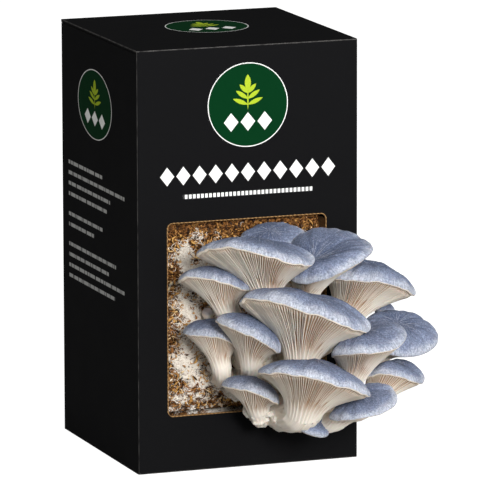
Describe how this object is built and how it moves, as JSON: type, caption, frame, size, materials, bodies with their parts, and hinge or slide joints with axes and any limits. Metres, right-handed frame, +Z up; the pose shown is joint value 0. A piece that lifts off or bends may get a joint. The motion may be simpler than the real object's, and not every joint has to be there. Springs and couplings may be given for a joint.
{
  "type": "mushroom grow kit",
  "caption": "Tall square board carton with a hinged lid and a front window, from which a cluster of oyster mushrooms grows out of a straw substrate block.",
  "frame": {"origin": "middle of the carton's underside", "axes": "+Z up; -Y is the front, where the window is and the mushrooms grow; +X is to the right as seen from the front"},
  "size_m": [0.1753, 0.2311, 0.25],
  "materials": {
    "printed_board": "satin",
    "straw_and_mycelium": "matte",
    "cap_skin": "matte",
    "pale_flesh": "matte"
  },
  "bodies": {
    "kit": {"carton": "printed_board", "substrate_block": "straw_and_mycelium", "cluster_foot": "pale_flesh", "bud": "cap_skin", "cap_top_left": "cap_skin", "cap_top_back": "cap_skin", "cap_top_right": "cap_skin", "cap_right_upper": "cap_skin", "cap_right_tiny": "cap_skin", "cap_right_outer": "cap_skin", "cap_right_middle": "cap_skin", "cap_centre": "cap_skin", "cap_lower_centre": "cap_skin", "cap_middle_left": "cap_skin", "cap_left_upper": "cap_skin", "cap_left_lower": "cap_skin", "cap_lower_left": "cap_skin", "cap_right_lower": "cap_skin", "cap_bottom_right": "cap_skin", "cap_bottom_tiny": "cap_skin", "stem_top_left": "pale_flesh", "stem_top_back": "pale_flesh", "stem_top_right": "pale_flesh", "stem_right_upper": "pale_flesh", "stem_right_tiny": "pale_flesh", "stem_right_outer": "pale_flesh", "stem_right_middle": "pale_flesh", "stem_centre": "pale_flesh", "stem_lower_centre": "pale_flesh", "stem_middle_left": "pale_flesh", "stem_left_upper": "pale_flesh", "stem_left_lower": "pale_flesh", "stem_lower_left": "pale_flesh", "stem_right_lower": "pale_flesh", "stem_bottom_right": "pale_flesh", "stem_bottom_tiny": "pale_flesh"},
    "lid": {"lid": "printed_board"}
  },
  "joints": [
    {"name": "lid_hinge", "type": "hinge", "parent": "kit", "child": "lid", "pos_m": [0, 0.0685, 0.24835], "axis": [-1, 0, 0], "range_deg": [0, 170]}
  ]
}
